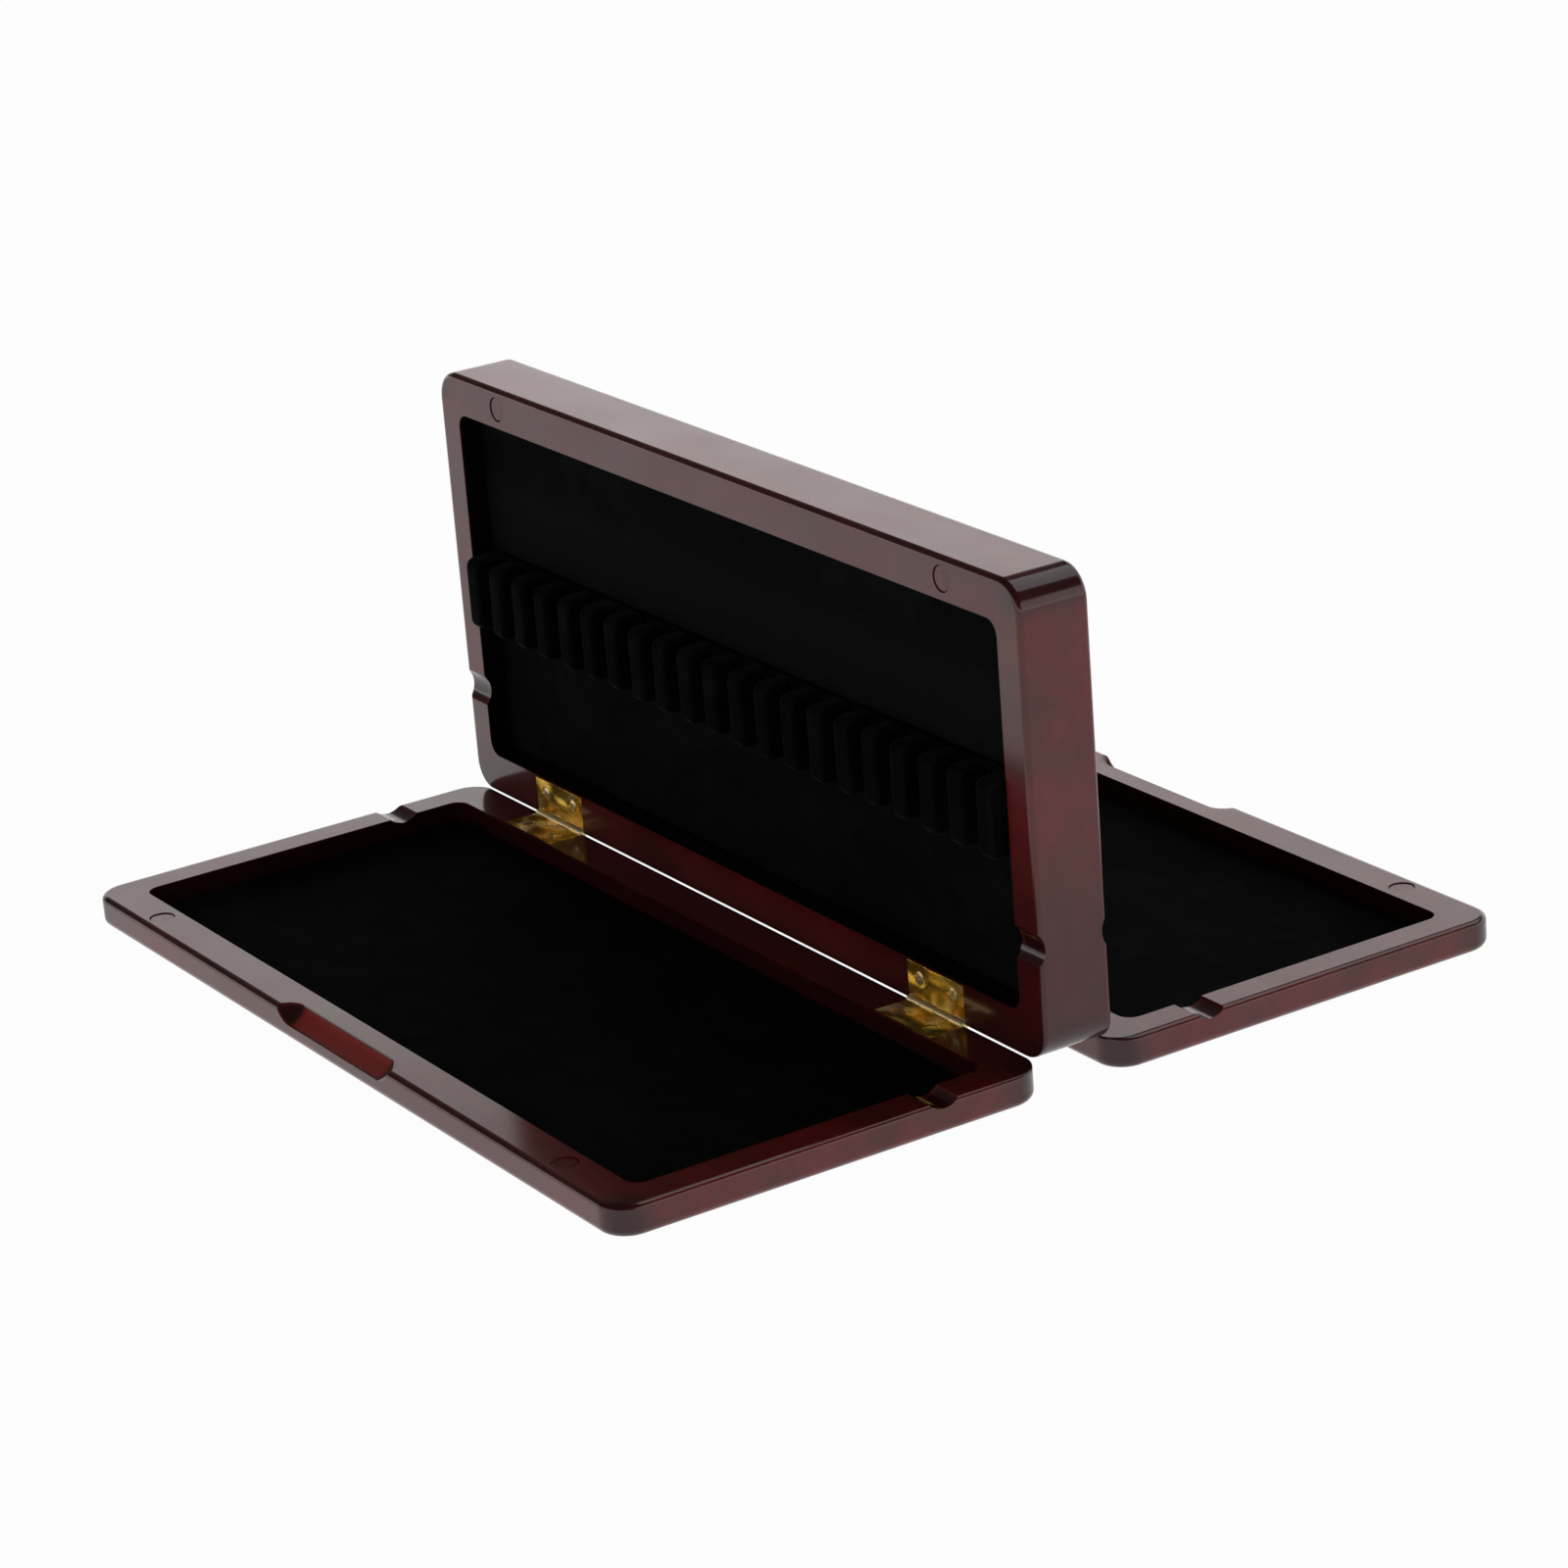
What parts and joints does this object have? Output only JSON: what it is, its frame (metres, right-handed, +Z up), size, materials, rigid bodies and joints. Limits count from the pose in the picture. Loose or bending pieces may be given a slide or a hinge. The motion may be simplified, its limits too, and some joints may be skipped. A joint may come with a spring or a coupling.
{
  "type": "oboe reed case",
  "caption": "Double-sided wooden reed case: two hinged shallow lids open flat beside an upright centre with velvet reed racks.",
  "frame": {"origin": "centre of the footprint, on the surface that the opened lids lie on", "axes": "+X along the hinges, +Y towards the back lid, +Z up; the front lid is towards -Y"},
  "size_m": [0.204, 0.1952, 0.0965],
  "materials": {
    "lacquered_wood": "high-gloss red-brown lacquer",
    "board": "matt board under the velvet",
    "velvet": "black velvet",
    "rack_velvet": "black velvet over formed bars",
    "hinge_brass": "polished yellow brass",
    "screw_brass": "polished yellow brass",
    "magnet": "lacquered over, like the rim round it"
  },
  "bodies": {
    "centre": {"centre_frame": "lacquered_wood", "centre_partition": "board", "front_velvet_bed": "velvet", "front_rack_strip": "rack_velvet", "front_rack_bars": "rack_velvet", "front_centre_magnets": "magnet", "front_centre_screws": "screw_brass", "front_left_centre_leaf": "hinge_brass", "front_left_hinge_pin": "hinge_brass", "front_right_centre_leaf": "hinge_brass", "front_right_hinge_pin": "hinge_brass", "back_velvet_bed": "velvet", "back_rack_strip": "rack_velvet", "back_rack_bars": "rack_velvet", "back_centre_magnets": "magnet", "back_centre_screws": "screw_brass", "back_left_centre_leaf": "hinge_brass", "back_left_hinge_pin": "hinge_brass", "back_right_centre_leaf": "hinge_brass", "back_right_hinge_pin": "hinge_brass"},
    "front_lid": {"front_lid_tray": "lacquered_wood", "front_lid_velvet": "velvet", "front_lid_magnets": "magnet", "front_lid_screws": "screw_brass", "front_left_lid_leaf": "hinge_brass", "front_right_lid_leaf": "hinge_brass"},
    "back_lid": {"back_lid_tray": "lacquered_wood", "back_lid_velvet": "velvet", "back_lid_magnets": "magnet", "back_lid_screws": "screw_brass", "back_left_lid_leaf": "hinge_brass", "back_right_lid_leaf": "hinge_brass"}
  },
  "joints": [
    {"name": "front_lid_hinge", "type": "hinge", "parent": "centre", "child": "front_lid", "pos_m": [0, -0.00755, 0.00635], "axis": [-1, 0, 0], "range_deg": [-60, 90]},
    {"name": "back_lid_hinge", "type": "hinge", "parent": "centre", "child": "back_lid", "pos_m": [0, 0.00755, 0.00635], "axis": [1, 0, 0], "range_deg": [-60, 90]}
  ]
}
